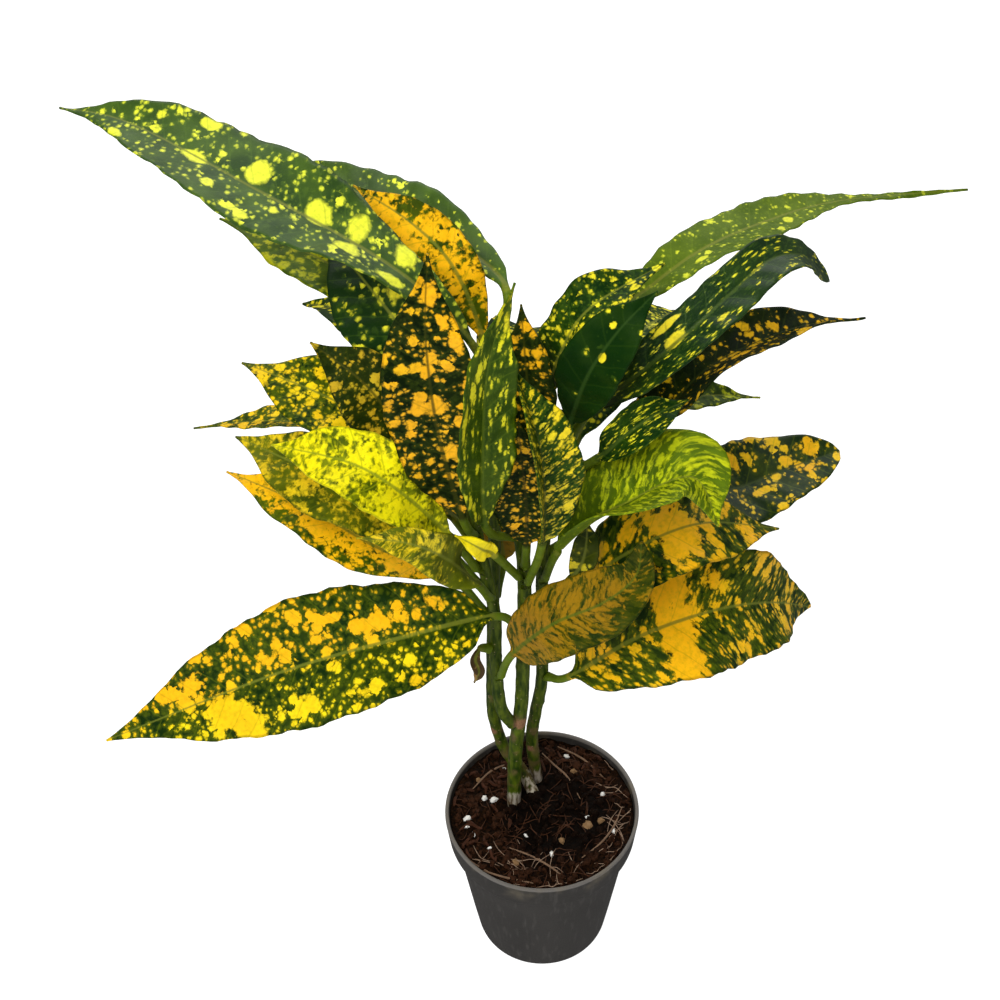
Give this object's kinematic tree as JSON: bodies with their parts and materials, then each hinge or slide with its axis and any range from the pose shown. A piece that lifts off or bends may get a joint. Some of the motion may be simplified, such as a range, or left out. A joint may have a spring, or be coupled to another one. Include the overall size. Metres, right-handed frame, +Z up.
{
  "type": "potted croton plant",
  "caption": "Young croton with gold-spotted leathery leaves on upright stems, in a small round nursery pot.",
  "frame": {"origin": "centre of the pot's underside, on the surface it stands on", "axes": "+Z up, -Y toward the front that the picture shows, +X to the right in that view"},
  "size_m": [0.2354, 0.1329, 0.2777],
  "materials": {
    "pot": "matt dark grey",
    "soil": "damp coir and bark",
    "stem": "green bark",
    "leaf_dark": "waxy, dark green with yellow spots",
    "leaf_gold": "waxy, gold and orange with green",
    "leaf_lime": "waxy, yellow-green"
  },
  "bodies": {
    "root": {"pot": "pot", "soil": "soil", "stem_front": "stem", "stem_back": "stem", "stem_right": "stem", "stem_branch": "stem", "leaf_crown_left_long": "leaf_dark", "leaf_crown_left_back": "leaf_dark", "leaf_crown_orange": "leaf_gold", "leaf_crown_left_under": "leaf_lime", "leaf_left_dark": "leaf_dark", "leaf_back_left_thin": "leaf_dark", "leaf_centre_dark": "leaf_dark", "leaf_centre_narrow": "leaf_dark", "leaf_centre_spotted": "leaf_dark", "leaf_centre_folded": "leaf_dark", "leaf_centre_deep": "leaf_dark", "leaf_right_arched": "leaf_dark", "leaf_right_plain": "leaf_dark", "leaf_right_streaked": "leaf_dark", "leaf_crown_right_long": "leaf_dark", "leaf_right_dark": "leaf_dark", "leaf_right_curled": "leaf_dark", "leaf_right_under": "leaf_dark", "leaf_right_lime": "leaf_lime", "leaf_right_blunt": "leaf_dark", "leaf_low_right_orange": "leaf_gold", "leaf_low_right_big": "leaf_gold", "leaf_right_gold": "leaf_gold", "leaf_low_left_big": "leaf_dark", "leaf_left_gold": "leaf_gold", "leaf_left_olive": "leaf_lime", "leaf_left_lemon": "leaf_lime", "leaf_left_drip": "leaf_lime", "leaf_left_spotted": "leaf_lime", "leaf_left_brown": "leaf_dark", "leaf_left_torn": "leaf_lime", "leaf_left_scrap": "leaf_gold", "leaf_inner_orange": "leaf_gold", "leaf_small_bud": "leaf_lime", "leaf_withered": "leaf_gold", "leaf_back_centre": "leaf_dark", "leaf_back_right": "leaf_dark", "leaf_back_left_low": "leaf_dark", "leaf_back_right_low": "leaf_dark", "leaf_back_low": "leaf_dark"}
  },
  "joints": []
}
